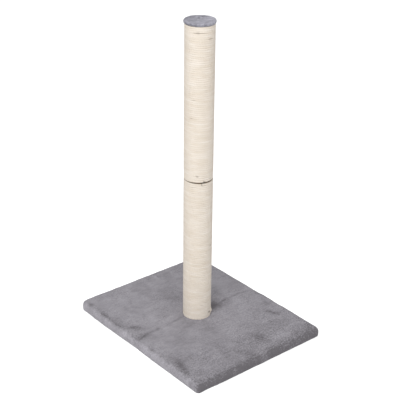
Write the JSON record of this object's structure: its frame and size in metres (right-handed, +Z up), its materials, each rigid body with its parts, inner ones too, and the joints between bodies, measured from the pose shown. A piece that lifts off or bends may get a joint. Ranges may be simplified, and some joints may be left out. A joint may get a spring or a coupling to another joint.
{
  "type": "cat scratching post",
  "caption": "Free-standing cat scratching post: rope-wound column in two screwed lengths on a rectangular plush-covered base, with a round plush cap on top",
  "frame": {"origin": "on the floor, under the middle of the base's rectangle", "axes": "+Z up along the post, +X along the base's short side, +Y along its long side"},
  "size_m": [0.5, 0.61, 1.0013],
  "materials": {
    "grey_plush": "short-pile grey plush with brushed nap",
    "sisal": "bleached cream sisal rope, matte and fibrous",
    "chipboard": "raw chipboard",
    "plug_wood": "raw sawn softwood",
    "winding_tube": "spiral-wound kraft cardboard",
    "plated_steel": "zinc-plated steel",
    "staple_steel": "galvanised staple wire"
  },
  "bodies": {
    "base_and_lower_column": {"base_board": "chipboard", "base_plush_cover": "grey_plush", "base_hem_staples": "staple_steel", "base_bolt": "plated_steel", "base_washer": "plated_steel", "lower_tube": "winding_tube", "lower_bottom_plug": "plug_wood", "lower_bottom_insert_nut": "plated_steel", "lower_top_plug": "plug_wood", "lower_top_insert_nut": "plated_steel", "lower_sisal_rope": "sisal", "lower_rope_staples": "staple_steel"},
    "connecting_stud": {"connecting_stud": "plated_steel"},
    "upper_column": {"upper_tube": "winding_tube", "upper_bottom_plug": "plug_wood", "upper_bottom_insert_nut": "plated_steel", "upper_top_plug": "plug_wood", "upper_sisal_rope": "sisal", "upper_rope_staples": "staple_steel", "cap_board": "chipboard", "cap_plush_cover": "grey_plush", "cap_hem_staples": "staple_steel", "cap_screws": "plated_steel"}
  },
  "joints": [
    {"name": "upper_column_turn", "type": "hinge", "parent": "base_and_lower_column", "child": "connecting_stud", "pos_m": [0.006, 0.012, 0.50815], "axis": [0, 0, 1], "range_deg": [0, 5760]},
    {"name": "upper_column_rise", "type": "slide", "parent": "connecting_stud", "child": "upper_column", "axis": [0, 0, 1], "range_m": [0, 0.02001]}
  ],
  "couplings": [
    {"joint": "upper_column_rise", "follows": "upper_column_turn", "m_per_rad": 0.00019894}
  ]
}
